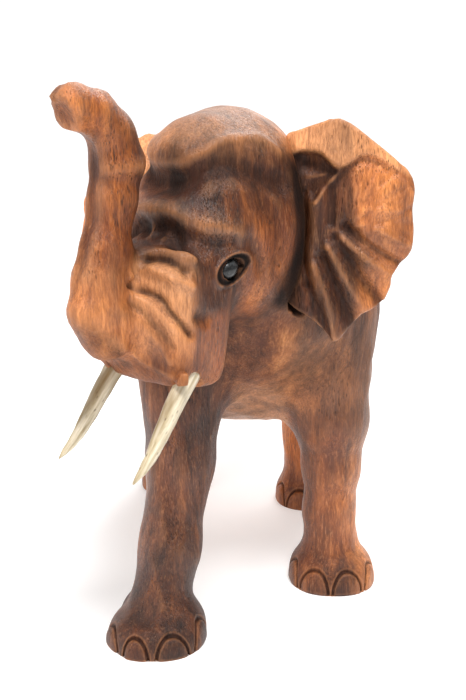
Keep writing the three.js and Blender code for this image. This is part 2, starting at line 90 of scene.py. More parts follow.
EAR_DISH = 6.0
EAR_FLARE = 5.0

FRONT_LEFT_LEG = [
    (45, -62, 170, 33), (51.5, -66, 108, 22.5), (52.5, -66, 76, 17),
    (52, -66, 50, 15), (53, -66, 26, 17.5),
]
FRONT_RIGHT_LEG = [
    (-36, -90, 168, 31), (-39.5, -110, 96, 18.5), (-45, -123, 52, 16.5), (-51, -133, 24, 17.5),
]
HIND_LEFT_LEG = [(42, 74, 155, 38), (49, 68, 98, 25), (50.7, 66, 55, 20), (50.7, 66, 26, 20)]
HIND_RIGHT_LEG = [(-44, 82, 155, 38), (-51, 92, 98, 25), (-55, 95, 55, 20), (-55, 95, 26, 20)]
LEGS = [FRONT_LEFT_LEG, FRONT_RIGHT_LEG, HIND_LEFT_LEG, HIND_RIGHT_LEG]
FEET = [
    {"centre": (54.2, -65.5), "radii": (27, 27, 22), "toes_face": -96, "toes": 4},
    {"centre": (-53.2, -136.5), "radii": (29, 29, 22), "toes_face": -90, "toes": 4},
    {"centre": (50.7, 66), "radii": (26.5, 27, 22), "toes_face": -90, "toes": 4},
    {"centre": (-55, 95), "radii": (26.5, 27, 22), "toes_face": -90, "toes": 4},
]
FOOT_CENTRE_HEIGHT = 3.0
TOE_SPACING = 46.0
NAIL_HALF_WIDTH = 9.4
NAIL_HEIGHT = 15.0
NAIL_SQUARENESS = 2.2
FAR_FROM_NAILS = 9.0
TRUNK = [
    (35, 200, 25), (57, 196, 18), (73, 197, 13.5), (81, 206, 12), (79.5, 218, 11.2), (76, 231, 10.7),
    (70.5, 253, 10.6), (67, 270, 11), (70, 282, 10), (80, 291.5, 9.2), (93, 294.5, 10.3),
]
LIP = {"forward": 56.6, "out": 27.0, "up": 172.4, "radii": (9.5, 3.1, 4.4)}  # wood before each tusk


# ---------- places ----------


def at_head(forward, left, up):
    """A point of the head in its own axes: x to the left, y backward, z up."""
    return np.array([left, -forward, up], dtype=float)


def to_head(p):
    """Block axes to head axes."""
    x = p[:, 0] - HEAD_PIVOT[0]
    y = p[:, 1] - HEAD_PIVOT[1]
    cos, sin = math.cos(HEAD_TURN), math.sin(HEAD_TURN)
    return np.stack([cos * x + sin * y, -sin * x + cos * y, p[:, 2]], axis=1)


def from_head(h):
    """Head axes to block axes."""
    cos, sin = math.cos(HEAD_TURN), math.sin(HEAD_TURN)
    x = cos * h[:, 0] - sin * h[:, 1] + HEAD_PIVOT[0]
    y = sin * h[:, 0] + cos * h[:, 1] + HEAD_PIVOT[1]
    return np.stack([x, y, h[:, 2]], axis=1)


def block_offset():
    """Where the block's axes start in the frame, found from the left eye bead, which both know."""
    low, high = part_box("eye_left")
    seen = (np.array(low) + np.array(high)) / 2 / MM
    meant = from_head(at_head(EYE["forward"], EYE["out"], EYE["up"])[None, :])[0]
    offset = seen - meant
    offset[2] = 0.0
    return offset


OFFSET = block_offset()


def to_ear(h, ear):
    """Head axes to an ear's own axes: x out from its root, y backward, z up."""
    root = np.array([ear["out"], ear["back"], EAR_ROOT_TOP - ear["drop"]])
    q = h * np.array([ear["side"], 1, 1]) - root
    sweep = math.radians(ear["sweep"])
    x = math.cos(sweep) * q[:, 0] + math.sin(sweep) * q[:, 1]
    y = -math.sin(sweep) * q[:, 0] + math.cos(sweep) * q[:, 1]
    lean = math.radians(-ear["lean"])
    y_flat = math.cos(lean) * y + math.sin(lean) * q[:, 2]
    z_flat = -math.sin(lean) * y + math.cos(lean) * q[:, 2]
    return np.stack([x, y_flat, z_flat + EAR_ROOT_TOP], axis=1)


def from_ear(e, ear):
    """An ear's own axes to head axes."""
    z = e[:, 2] - EAR_ROOT_TOP
    lean = math.radians(-ear["lean"])
    y = math.cos(lean) * e[:, 1] - math.sin(lean) * z
    z = math.sin(lean) * e[:, 1] + math.cos(lean) * z
    sweep = math.radians(ear["sweep"])
    x = math.cos(sweep) * e[:, 0] - math.sin(sweep) * y
    y = math.sin(sweep) * e[:, 0] + math.cos(sweep) * y
    q = np.stack([x, y, z], axis=1) + np.array([ear["out"], ear["back"], EAR_ROOT_TOP - ear["drop"]])
    return q * np.array([ear["side"], 1, 1])


# ---------- distance fields, negative inside ----------


def ellipsoid_field(p, centre, radii, squareness=2.0):
    radii = np.array(radii, dtype=float)
    local = np.abs(p - np.array(centre, dtype=float)) / radii
    size = np.maximum((local**squareness).sum(axis=1) ** (1 / squareness), 1e-6)
    slope = (local / size[:, None]) ** (squareness - 1) / radii
    return (size - 1) / np.maximum(np.linalg.norm(slope, axis=1), 1e-6)


def limb_field(p, start, end, start_radius, end_radius):
    start, end = np.array(start, dtype=float), np.array(end, dtype=float)
    along = end - start
    share = np.clip((p - start) @ along / (along @ along), 0, 1)
    away = np.linalg.norm(p - start - share[:, None] * along, axis=1)
    return away - (start_radius + (end_radius - start_radius) * share)


def blend(a, b, softness):
    overlap = np.maximum(softness - np.abs(a - b), 0) / softness
    return np.minimum(a, b) - overlap * overlap * softness * 0.25


def carve(solid, tool, softness):
    return -blend(-solid, tool, softness)


def chain_field(p, stops, softness):
    field = None
    for start, end in zip(stops, stops[1:]):
        limb = limb_field(p, start[:3], end[:3], start[3], end[3])
        field = limb if field is None else blend(field, limb, softness)
    return field


def torso_field(p):
    barrel = ellipsoid_field(p, (0, 14, 178), (83, 112, 84), 2.7)
    chest = ellipsoid_field(p, (-1, -76, 192), (60, 46, 55))
    throat = limb_field(p, (0, -86, 200), (-12, -124, 230), 54, 36)
    nape = ellipsoid_field(p, (-8, -112, 240), (33, 42, 50), 2.8)
    return blend(blend(barrel, chest, 24), blend(throat, nape, 20), 24)


def legs_field(p):
    field = chain_field(p, LEGS[0], 8)
    for leg in LEGS[1:]:
        field = blend(field, chain_field(p, leg, 8), 1)
    return field


def feet_field(p):
    fields = [ellipsoid_field(p, (*f["centre"], FOOT_CENTRE_HEIGHT), f["radii"], 2.3) for f in FEET]
    return np.min(fields, axis=0)


def tail_field(p):
    tail = chain_field(p, [(0, 119, 228, 8), (4, 130, 190, 7.5), (8, 129, 150, 7), (9, 119, 120, 7)], 4)
    return blend(tail, ellipsoid_field(p, (9, 113, 104), (10, 10, 19)), 6)


def head_field(h):
    face = limb_field(h, at_head(8, 0, 232), at_head(34, 0, 203), 31, 27)
    block = ellipsoid_field(h, at_head(41, 0, 198), (31.5, 20, 32), 6)
    cranium = ellipsoid_field(h, at_head(0, 0, 243), (34, 42, 49), 2.2)
    head = blend(cranium, blend(face, block, 9), 16)
    head = carve(head, ellipsoid_field(h, at_head(42, 0, 264), (30, 10, 10)), 8)
    for side in (-1, 1):
        head = blend(head, ellipsoid_field(h, at_head(28, 17 * side, 240), (11, 10, 8)), 8)
    trunk = chain_field(h, [(*at_head(forward, 0, up), radius) for forward, up, radius in TRUNK], 5)
    return blend(head, trunk, 14)


def block_field(p):
    body = blend(torso_field(p), legs_field(p), 17)
    grounded = blend(body, feet_field(p), 9)
    tailed = blend(grounded, tail_field(p), 3)
    return blend(tailed, head_field(to_head(p)), 18)


def slope_of(field, p):
    step = 0.3
    slope = np.zeros_like(p)
    for axis in range(3):
        nudge = np.zeros(3)
        nudge[axis] = step
        slope[:, axis] = (field(p + nudge) - field(p - nudge)) / (2 * step)
    return slope


def smoothstep(value, start, end):
    share = np.clip((value - start) / (end - start), 0, 1)
    return share * share * (3 - 2 * share)


# ---------- carved strokes ----------


def path_distance(p, path):
    """How far each point is from a path of straight runs."""
    nearest = np.full(len(p), np.inf)
    for start, end in zip(path, path[1:]):
        nearest = np.minimum(nearest, limb_field(p, start, end, 0, 0))
    return nearest


def rounded(path, between=4):
    """A path through the same points with its corners rounded off."""
    points = [np.array(point, dtype=float) for point in path]
    if len(points) < 3:
        return points
    points = [2 * points[0] - points[1], *points, 2 * points[-1] - points[-2]]
    curve = []
    for a, b, c, d in zip(points, points[1:], points[2:], points[3:]):
        for i in range(between):
            t = i / between
            pull = (c - a) * t + (2 * a - 5 * b + 4 * c - d) * t**2 + (3 * b - a - 3 * c + d) * t**3
            curve.append(b + pull / 2)
    return [*curve, points[-2]]


def stroke(p, path, width, height):
    """A rounded ridge (height above zero) or groove (below zero) along a path."""
    return height * np.exp(-((path_distance(p, rounded(path)) / width) ** 2))


# Each face stroke: points as (forward, left, up), then half-width and height in millimetres.
FACE_STROKES = {
    "forehead hollow": (
        [(33, -8, 259), (34, 9, 259), (29, 21, 266), (19, 27, 268), (8, 33, 264),
         (-9, 36, 258)], 6.5, -2.6,
    ),
    "forehead ridge": (
        [(33, -12, 267), (32, 9, 268.5), (28, 18, 274), (18, 21, 279),
         (-3, 26, 279), (-12, 31, 273)], 3.2, 1.5,
    ),
    "brow": ([(44, 2, 247), (42, 11, 246), (37, 24, 241), (30, 31, 239), (22, 33, 236)], 5.0, 1.6),
    "upper crescent": ([(47, 4, 238), (45, 9, 239), (45, 14, 236), (48, 21, 230)], 4.0, -3.0),
    "ridge between crescents": ([(58, 10, 232), (54, 14, 232), (52, 23, 229), (48, 29, 226)], 2.6, 1.8),
    "lower crescent": ([(60, 11, 227), (58, 16, 228), (57, 24, 226), (54, 30, 222)], 3.0, -2.6),
    "upper muzzle ridge": ([(70, 10, 219), (62, 14, 222), (60, 25, 219.5), (52, 31, 214)], 2.4, 2.1),
    "first muzzle groove": (
        [(70, 10, 215), (65, 14, 212), (62, 21, 208.5), (61, 25, 203),
         (58, 29, 198), (53, 32, 192)], 1.9, -1.9,
    ),
    "middle muzzle ridge": ([(71, 11, 211), (66, 16, 207), (63, 21, 202), (60, 26, 196)], 2.2, 1.2),
    "second muzzle groove": ([(72, 11, 207), (68, 16, 202), (64, 21, 194), (60, 26, 186)], 2.0, -1.1),
    "cheek dimple": ([(48, 32, 199), (43, 32, 197)], 3.0, -1.3),
    "lower muzzle ridge": ([(69, 13, 200), (64, 19, 190), (60, 25, 180)], 2.4, 1.3),
    "chip on the muzzle": ([(66, 15, 196), (61, 22, 184)], 2.2, -0.5),
    "brow hollow": ([(40, 22, 234), (32, 29, 231), (24, 32, 233)], 3.4, -1.3),
    "temple plane": ([(6, 36, 252), (-4, 37, 236), (-6, 36, 220)], 6.0, -1.2),
    "knot": ([(52, 31, 191), (51.5, 31, 190.6)], 1.3, -0.9),
    "jaw edge": ([(88, 8, 199), (79, 11, 190), (66, 12, 179), (59, 27, 173)], 1.8, 1.0),
    "under the eye": ([(30, 33, 211), (22, 34, 213), (14, 34, 219)], 1.6, -0.8),
    "cheek fold": ([(14, 34, 232), (4, 36, 214), (6, 35, 196), (14, 33, 184)], 3.2, -1.2),
}
RELIEF_STRENGTH = 1.4


def face_relief(h):
    """The face strokes on both sides of the head, the stronger one where they meet."""
    mirrored = h * np.array([-1, 1, 1])
    relief = np.zeros(len(h))
    for points, width, height in FACE_STROKES.values():
        path = [at_head(*point) for point in points]
        left = stroke(h, path, width, height)
        right = stroke(mirrored, path, width, height)
        relief += np.where(np.abs(left) > np.abs(right), left, right)
    return RELIEF_STRENGTH * relief


# The jaw's lower edge, as (forward, up).
JAW_EDGE = [(59, 173), (64, 177), (72, 182), (79, 190), (88, 199), (95, 208)]


def jaw_edge(forward):
    """The height of the jaw's lower edge."""
    return np.interp(forward, [q[0] for q in JAW_EDGE], [q[1] for q in JAW_EDGE])


def under_jaw(h):
    """1 on the facet below the jaw's edge, under the trunk's root, and 0 above it."""
    forward = -h[:, 1]
    return smoothstep(forward, 56, 62) * smoothstep(jaw_edge(forward) - h[:, 2], -0.8, 1.6)


def trunk_relief(h):
    """The trunk's flat front, the edge beside it, and the full facet under its root."""
    forward, left, up = -h[:, 1], h[:, 0], h[:, 2]
    along = smoothstep(forward, 58, 64) * smoothstep(up, 206, 220)
    edge = 0.9 * np.exp(-(((left - 4) / 2.2) ** 2)) - 0.7 * np.exp(-(((left + 1) / 3.0) ** 2))
    ledge = 1.6 * np.exp(-(((up - 268) / 3.5) ** 2)) * smoothstep(left, 2, 8)
    facet = 3.4 * smoothstep(jaw_edge(forward) - up, -9, 8) * smoothstep(forward, 60, 78)
    return along * (edge + ledge) + facet


def eye_size(local):
    """How far out from an eye's middle a point lies, counted in eye openings: 1 on the lid's edge."""
    along = math.cos(EYE_SLANT) * local[:, 1] + math.sin(EYE_SLANT) * local[:, 2]
    across = -math.sin(EYE_SLANT) * local[:, 1] + math.cos(EYE_SLANT) * local[:, 2]
    return np.sqrt((along / EYE_OPENING_HALF_LENGTH) ** 2 + (across / EYE_OPENING_HALF_HEIGHT) ** 2)


def eyelid_relief(h):
    """A raised lid round each eye."""
    size = eye_size(h - at_head(EYE["forward"] + 0.5, 0, EYE["up"]))
    lid = 1.1 * np.exp(-(((size - 1.22) / 0.16) ** 2))
    relief = np.zeros(len(h))
    for side in (-1, 1):
        relief += smoothstep(h[:, 0] * side, 18, 24) * lid
    return relief


def toe_lines(p):
    """How far outside the nearest toenail's arch a point lies: 0 on its outline, below 0 inside."""
    lines = np.full(len(p), FAR_FROM_NAILS)
    for foot in FEET:
        x, y = p[:, 0] - foot["centre"][0], p[:, 1] - foot["centre"][1]
        reach = np.hypot(x, y)
        angle = np.degrees(np.arctan2(y, x))
        for toe in range(foot["toes"]):
            middle = foot["toes_face"] + (toe - (foot["toes"] - 1) / 2) * TOE_SPACING
            turn = (angle - middle + 180) % 360 - 180
            across = np.radians(turn) * foot["radii"][0] / NAIL_HALF_WIDTH
            rise = np.maximum(p[:, 2], 0) / NAIL_HEIGHT
            size = (np.abs(across) ** NAIL_SQUARENESS + rise**NAIL_SQUARENESS) ** (1 / NAIL_SQUARENESS)
            nail = (size - 1) * NAIL_HALF_WIDTH
            nail = np.where((reach < 40) & (p[:, 2] < 30), nail, FAR_FROM_NAILS)
            lines = np.minimum(lines, nail)
    return lines


def toe_relief(p):
    """A groove along each toenail's outline, and the nail a little proud inside it."""
    lines = toe_lines(p)
    groove = -1.6 * np.exp(-((lines / 0.65) ** 2))
    nail = 0.5 * smoothstep(-lines, 0.2, 3.0)
    return groove + nail


POINTS_PER_GOUGE = 54
GOUGE_STRETCH = 0.5
GOUGE_RADIUS = 10.0
GOUGE_DEPTH = 0.95


def gouge_relief(p, rng):
    """Shallow scoops left by a gouge, longer along the grain than across it."""
    scaled = p * np.array([1.0, 1.0, GOUGE_STRETCH])
    count = max(int(len(p) / POINTS_PER_GOUGE), 8)
    seeds = scaled[rng.choice(len(p), size=count, replace=False)]
    tree = KDTree(len(seeds))
    for i, seed in enumerate(seeds):
        tree.insert(seed, i)
    tree.balance()
    nearest = np.array([tree.find(point)[2] for point in scaled])
    return GOUGE_DEPTH * (np.minimum(nearest / GOUGE_RADIUS, 1.2) ** 2 - 0.4)


# Each body stroke: points in the block's axes, then half-width and height in millimetres.
BODY_STROKES = {
    "leg facet": ([(-49, -130, 100), (-45, -134, 82), (-41, -139, 62)], 5.0, -1.5),
    "leg facet edge": ([(-54, -128, 98), (-51, -133, 80), (-47, -138, 62)], 2.0, 0.7),
    "left leg inner edge": ([(38, -82, 122), (42, -84, 90), (44, -82, 60)], 2.4, 0.8),
    "left leg facet": ([(52, -88, 140), (54, -84, 100), (54, -82, 62)], 6.0, -1.0),
    "left ankle": ([(36, -78, 26), (53, -86, 24), (72, -74, 26)], 3.0, -0.6),
    "right ankle": ([(-72, -148, 27), (-53, -158, 25), (-34, -148, 27)], 3.0, -0.6),
    "left shoulder crease": (
        [(30, -105, 170), (48, -95, 150), (66, -78, 140), (80, -50, 150)], 5.0, -1.2,
    ),
    "belly edge": ([(-20, -95, 132), (0, -100, 128), (24, -92, 130)], 4.0, 0.8),
}


def body_relief(p):
    """The strokes cut in the legs and body, each on one side only."""
    relief = np.zeros(len(p))
    for path, width, height in BODY_STROKES.values():
        relief += stroke(p, path, width, height)
    return relief


# ---------- meshes ----------


def coords(mesh):
    flat = np.empty(len(mesh.vertices) * 3)
    mesh.vertices.foreach_get("co", flat)
    return flat.reshape(-1, 3)


def set_coords(mesh, positions):
    mesh.vertices.foreach_set("co", positions.astype(float).ravel())
    mesh.update()


def normals(mesh):
    flat = np.empty(len(mesh.vertices) * 3)
    mesh.vertex_normals.foreach_get("vector", flat)
    return flat.reshape(-1, 3)


def copy_of(node, name):
    """A new object with a CAD node's mesh, to be worked on."""
    mesh = frame["nodes"][node].data.copy()
    mesh.name = name
    mesh.materials.clear()
    piece = bpy.data.objects.new(name, mesh)
    bpy.context.scene.collection.objects.link(piece)
    return piece


def apply_modifiers(piece):
    graph = bpy.context.evaluated_depsgraph_get()
    made = bpy.data.meshes.new_from_object(piece.evaluated_get(graph), depsgraph=graph)
    piece.modifiers.clear()
    old = piece.data
    piece.data = made
    bpy.data.meshes.remove(old)


def remesh(piece, voxel):
    modifier = piece.modifiers.new("remesh", "REMESH")
    modifier.mode = "VOXEL"
    modifier.voxel_size = voxel * MM
    apply_modifiers(piece)


def smooth(piece, factor, rounds):
    modifier = piece.modifiers.new("smooth", "SMOOTH")
    modifier.factor = factor
    modifier.iterations = rounds
    apply_modifiers(piece)


def refine(piece, wanted):
    """Splits the faces whose middle is wanted into four."""
    work = bmesh.new()
    work.from_mesh(piece.data)
    work.faces.ensure_lookup_table()
    middles = np.array([face.calc_center_median() for face in work.faces]) / MM - OFFSET
    keep = wanted(middles)
    edges = {edge for face, use in zip(work.faces, keep) if use for edge in face.edges}
    bmesh.ops.subdivide_edges(work, edges=list(edges), cuts=1, use_grid_fill=True)
    work.to_mesh(piece.data)
    work.free()


def shade_smooth(piece):
    for polygon in piece.data.polygons:
        polygon.use_smooth = True


def store(piece, name, values):
    attribute = piece.data.attributes.new(name, "FLOAT", "POINT")
    attribute.data.foreach_set("value", np.clip(values, 0, 1).astype(np.float32))


# ---------- the carved block ----------


def settle(p):
    """Moves points that lie near the anatomy's surface onto it; points in cuts stay."""
    start = np.abs(block_field(p))
    weight = 1 - smoothstep(start, 1.1, 2.4)
    in_feet = smoothstep(-p[:, 2], -26, -22) * smoothstep(p[:, 2], 0.4, 1.6)
    weight = np.maximum(weight, in_feet)
    for _round in range(3):
        slope = slope_of(block_field, p)
        steepness = np.maximum((slope**2).sum(axis=1), 0.05)
        step = -(weight * block_field(p) / steepness)[:, None] * slope
        p = p + np.clip(step, -2.5, 2.5)
    return p, weight


def lower_jaw(p):
    """Draws the muzzle's lower edge down to its square back corner, and its lip down a little."""
    h = to_head(p)
    forward, out, up = -h[:, 1], np.abs(h[:, 0]), h[:, 2]
    low = 1 - smoothstep(up, 170, 188)
    on_muzzle = smoothstep(forward, 14, 24) * low
    corner = smoothstep(out, 8, 26) * (1 - smoothstep(forward, 34, 52))
    lip = 1 - smoothstep(out, 28, 36) * 0.3
    h[:, 2] -= on_muzzle * (2.0 * lip + 4.2 * corner)
    h[:, 0] -= np.sign(h[:, 0]) * on_muzzle * 1.3 * smoothstep(out, 20, 30)
    chin = np.exp(-((np.hypot(forward - 60, h[:, 0] + 30) / 12) ** 2)) * low
    h[:, 0] += 6.0 * chin
    h[:, 1] += 2.0 * chin
    return from_head(h)


def fine_region(p):
    """Where crisp lines are cut: round the toenails and the eyes."""
    nails = (np.abs(toe_lines(p)) < 2.0) & (p[:, 2] < 18)
    h = to_head(p)
    size = eye_size(h - at_head(EYE["forward"], 0, EYE["up"]))
    return nails | ((size < 1.7) & (np.abs(h[:, 0]) > 20))


def face_region(p):
    """The front of the face, from the lip to the top of the brow."""
    h = to_head(p)
    front = (h[:, 1] < -2) & (h[:, 1] > -78) & (np.abs(h[:, 0]) < 46)
    return front & (h[:, 2] > 160) & (h[:, 2] < 250)


def feet_region(p):
    return p[:, 2] < 19


def add_ball(piece, middle, radii):
    """Adds a stretched ball, in head axes, to a piece before it is skinned again."""
    work = bmesh.new()
    work.from_mesh(piece.data)
    ball = bmesh.ops.create_uvsphere(work, u_segments=24, v_segments=16, radius=1.0)["verts"]
    local = np.array([vert.co for vert in ball]) * np.array(radii) + middle
    for vert, place in zip(ball, (from_head(local) + OFFSET) * MM):
        vert.co = place
    work.to_mesh(piece.data)
    work.free()


def make_block():
    rng = np.random.default_rng(SEED)
    piece = copy_of("carved_body", "wood_block")
    for side in (-1, 1):
        add_ball(piece, at_head(LIP["forward"], LIP["out"] * side, LIP["up"]), LIP["radii"])
    remesh(piece, BLOCK_VOXEL)
    smooth(piece, 0.5, 2)
    refine(piece, lambda p: face_region(p) | feet_region(p))
    refine(piece, fine_region)
    p = coords(piece.data) / MM - OFFSET
    on_sole = p[:, 2] < 0.8
    p, on_skin = settle(p)
    set_coords(piece.data, (p + OFFSET) * MM)
    outward = normals(piece.data)
    h = to_head(p)
    head_part = smoothstep(-h[:, 1], -30, -18) * smoothstep(p[:, 2], 158, 168)
    relief = face_relief(h) * head_part
    lids_and_trunk = (eyelid_relief(h) + trunk_relief(h)) * head_part
    toes = toe_relief(p) * smoothstep(p[:, 2], 0.2, 1.5)
    carved = relief + lids_and_trunk + body_relief(p)
    gouged = gouge_relief(p, rng) * smoothstep(p[:, 2], 18, 26)
    height = (carved + gouged + toes) * on_skin
    moved = lower_jaw(p + outward * height[:, None])
    moved[:, 2] = np.where(on_sole, p[:, 2], np.maximum(moved[:, 2], 0.0))
    moved[on_sole, 2] = np.where(outward[on_sole, 2] < -0.5, 0.0, moved[on_sole, 2])
    set_coords(piece.data, (moved + OFFSET) * MM)
    shade_smooth(piece)
    paint_block(piece, p, outward, relief, on_skin)
    piece.data.materials.append(wood_material("carved_wood"))
    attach(piece, "carving")
    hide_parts("carved_body")


def soft(*steps):
    """Soft steps multiplied together, each given as (values, start, end)."""
    share = 1.0
    for values, start, end in steps:
        share = share * smoothstep(values, start, end)
    return share


def head_path(name):
    """A face stroke's points in head axes."""
    return [at_head(*point) for point in FACE_STROKES[name][0]]


def block_warmth(p, h, on_trunk, foreleg_painted_light):
    """Orange wood: the muzzle, the trunk's front strip, the cheek and the body's left flank; the upper
    left foreleg is warmed as painted light where the head's shadow falls.
    """
    forward, left, up = -h[:, 1], h[:, 0], h[:, 2]
    strip = on_trunk * soft((left, 1, 9), (up, 206, 222))
    muzzle = soft((forward, 36, 54), (-up, -226, -214), (up, 160, 168))
    jaw_side = soft((forward, 20, 34), (-up, -205, -195), (up, 160, 168))
    cheek = soft((-up, -262, -240), (up, 178, 200), (-np.abs(forward), -26, -6)) * 0.62
    flank = soft((p[:, 0], 52, 76), (-p[:, 2], -235, -205)) * 0.75
    rump = smoothstep(p[:, 1], 70, 130) * 0.45
    hind = soft((p[:, 1], 30, 50), (-p[:, 2], -110, -90)) * 0.8
    parts = [on_trunk * 0.42, strip, muzzle, jaw_side, cheek, flank, rump, hind, foreleg_painted_light * 0.5]
    return np.max(parts, axis=0)


def block_painted_shade(p, h, relief, on_trunk):
    """Painted shade: grooves and toe lines, the throat, under the muzzle and jaw, the trunk's sides,
    and darker toward the feet.
    """
    forward, left, up = -h[:, 1], h[:, 0], h[:, 2]
    grooves = np.clip(-relief / 2.4, 0, 1)
    throat = soft((-up, -205, -180), (-forward, -24, -8), (up, 120, 150)) * 0.55
    under_muzzle = soft((-up, -186, -176), (forward, 30, 60), (up, 150, 165)) * 0.5
    feet = smoothstep(-p[:, 2], -40, -14) * 0.30
    toes = np.exp(-((toe_lines(p) / 0.9) ** 2))
    forehead = stroke(h, head_path("forehead hollow"), 9.5, 1.0)
    crescent = stroke(h, head_path("upper crescent"), 6.5, 1.0)
    chin = under_jaw(h) * smoothstep(-up, -215, -195)
    streak = on_trunk * np.exp(-(((left + 2) / 3.5) ** 2)) * soft((up, 206, 220), (forward, 56, 64))
    trunk_sides = on_trunk * soft((np.abs(left + 3), 9, 17), (up, 210, 240))
    parts = [
        grooves * 0.8, throat, under_muzzle, feet, toes * 0.9, forehead * 0.85, crescent * 0.8,
        chin * 0.55, streak * 0.5, trunk_sides * 0.42,
    ]
    return np.max(parts, axis=0)


def eye_char(h):
    """Burnt wood round each eye, drawn out behind it and below it."""
    parts = []
    for side in (-1, 1):
        size = eye_size(h - at_head(EYE["forward"] + 0.5, EYE["out"] * side, EYE["up"]))
        near = smoothstep(h[:, 0] * side, 12, 20)
        bowl = (1 - smoothstep(size, 1.05, 1.24)) * (0.6 + 0.4 * smoothstep(size, 0.7, 0.9))
        corner = [at_head(17, 33 * side, 224), at_head(12, 33.5 * side, 226)]
        lash = [at_head(30, 33 * side, 213), at_head(24, 34 * side, 209), at_head(18, 34 * side, 212)]
        parts += [near * bowl, 0.8 * stroke(h, corner, 2.2, 1.0), 0.55 * stroke(h, lash, 1.2, 1.0)]
    return np.max(parts, axis=0)


def ear_crevice_shade(p, h, cuts):
    """Painted shade, near black, in the gap where each ear is let into the head."""
    crevice_shade = cuts * soft((p[:, 2], 150, 170), (h[:, 1], -6, 4), (-p[:, 1], 40, 70))
    for ear in EARS.values():
        e = to_ear(h, ear)
        beside = smoothstep(e[:, 0], -12, -1) * (1 - smoothstep(np.abs(e[:, 1] + 6), 8, 20))
        beside *= soft((e[:, 2], 184, 196), (-e[:, 2], -276, -262))
        crevice_shade = np.maximum(crevice_shade, beside * 0.95)
    return crevice_shade


def block_painted_highlights(p, h, outward, relief, on_trunk, foreleg_painted_light):
    """Painted highlights: the dome, the tops of ridges, the belly's underside, the left edge, the upper
    left foreleg and the muzzle.
    """
    forward, up = -h[:, 1], h[:, 2]
    dome = soft((up, 264, 284), (-forward, -40, -30), (-p[:, 1], 60, 90))
    ridges = np.clip(relief / 2.6, 0, 1)
    belly = soft((-outward[:, 2], 0.45, 0.8), (p[:, 2], 80, 96), (-p[:, 2], -150, -130))
    edge = soft((p[:, 0], 56, 78), (-p[:, 2], -200, -120))
    muzzle = soft((forward, 42, 58), (up, 172, 204), (-up, -232, -220))
    muzzle *= 1 - 0.8 * on_trunk * smoothstep(forward, 62, 70)
    parts = [dome * 0.45, ridges * 0.35, belly * 0.6, edge * 0.4, foreleg_painted_light * 0.3, muzzle]
    return np.max(parts, axis=0)


def paint_block(piece, p, outward, relief, on_skin):
    """Where the wood is warm orange or burnt black, and where light and shade are painted: highlights
    pale, shade dark in hollows and near black in the ear gaps.
    """
    h = to_head(p)
    trunk = chain_field(h, [(*at_head(f, 0, u), r) for f, u, r in TRUNK[1:]], 5)
    on_trunk = smoothstep(-trunk, -4, 1)
    # The upper left foreleg, lightened and warmed as painted light where the head's shadow falls.
    foreleg_painted_light = soft((p[:, 0], 6, 26), (-p[:, 1], 20, 50), (-p[:, 2], -205, -165), (p[:, 2], 100, 140))
    cuts = (1 - on_skin) * smoothstep(p[:, 2], 3, 8)
    # Painted shade, near black, in the gaps where the ears are let in.
    crevice_shade = ear_crevice_shade(p, h, cuts)
    # Painted shade in the cuts on the front of the head.
    lip = cuts * (1 - smoothstep(h[:, 1], -6, 4)) * 0.45
    shade_in_hollows = block_painted_shade(p, h, relief, on_trunk)
    store(piece, "warm", block_warmth(p, h, on_trunk, foreleg_painted_light))
    # Stored: painted shade, burnt black round the eyes with near-black painted shade in the ear gaps,
    # and painted highlights.
    store(piece, "hollow_shade", np.max([shade_in_hollows, crevice_shade, lip], axis=0))
    store(piece, "char_and_gap_shade", np.maximum(eye_char(h), crevice_shade * 0.85))
    store(piece, "painted_highlight", block_painted_highlights(p, h, outward, relief, on_trunk, foreleg_painted_light))


# ---------- ears ----------


def ear_bow(out, up):
    """The ear's middle surface, as the CAD leaf has it."""
    angle = np.arctan2(up - EAR_FOLD_CENTRE[1], out - EAR_FOLD_CENTRE[0])
    reach = np.hypot(up - EAR_FOLD_CENTRE[1], out - EAR_FOLD_CENTRE[0])
    lower = smoothstep(-angle, 0.1, 0.6)
    folds = np.sin(angle * EAR_FOLD_COUNT * 2) * EAR_FOLD_DEPTH * smoothstep(reach, 12, 45) * lower
    return smoothstep(out, 4, 26) * (folds + ear_dish(out))


def ear_dish(out):
    """The leaf's hollow front and its flared edge, without the folds."""
    share = out / EAR_LENGTH
    return -EAR_DISH * np.sin(np.pi * np.minimum(share, 1)) + EAR_FLARE * share**2


def ear_smooth_bow(out):
    """The same surface without its coarse folds, which the strokes below replace."""
    return smoothstep(out, 4, 26) * ear_dish(out)


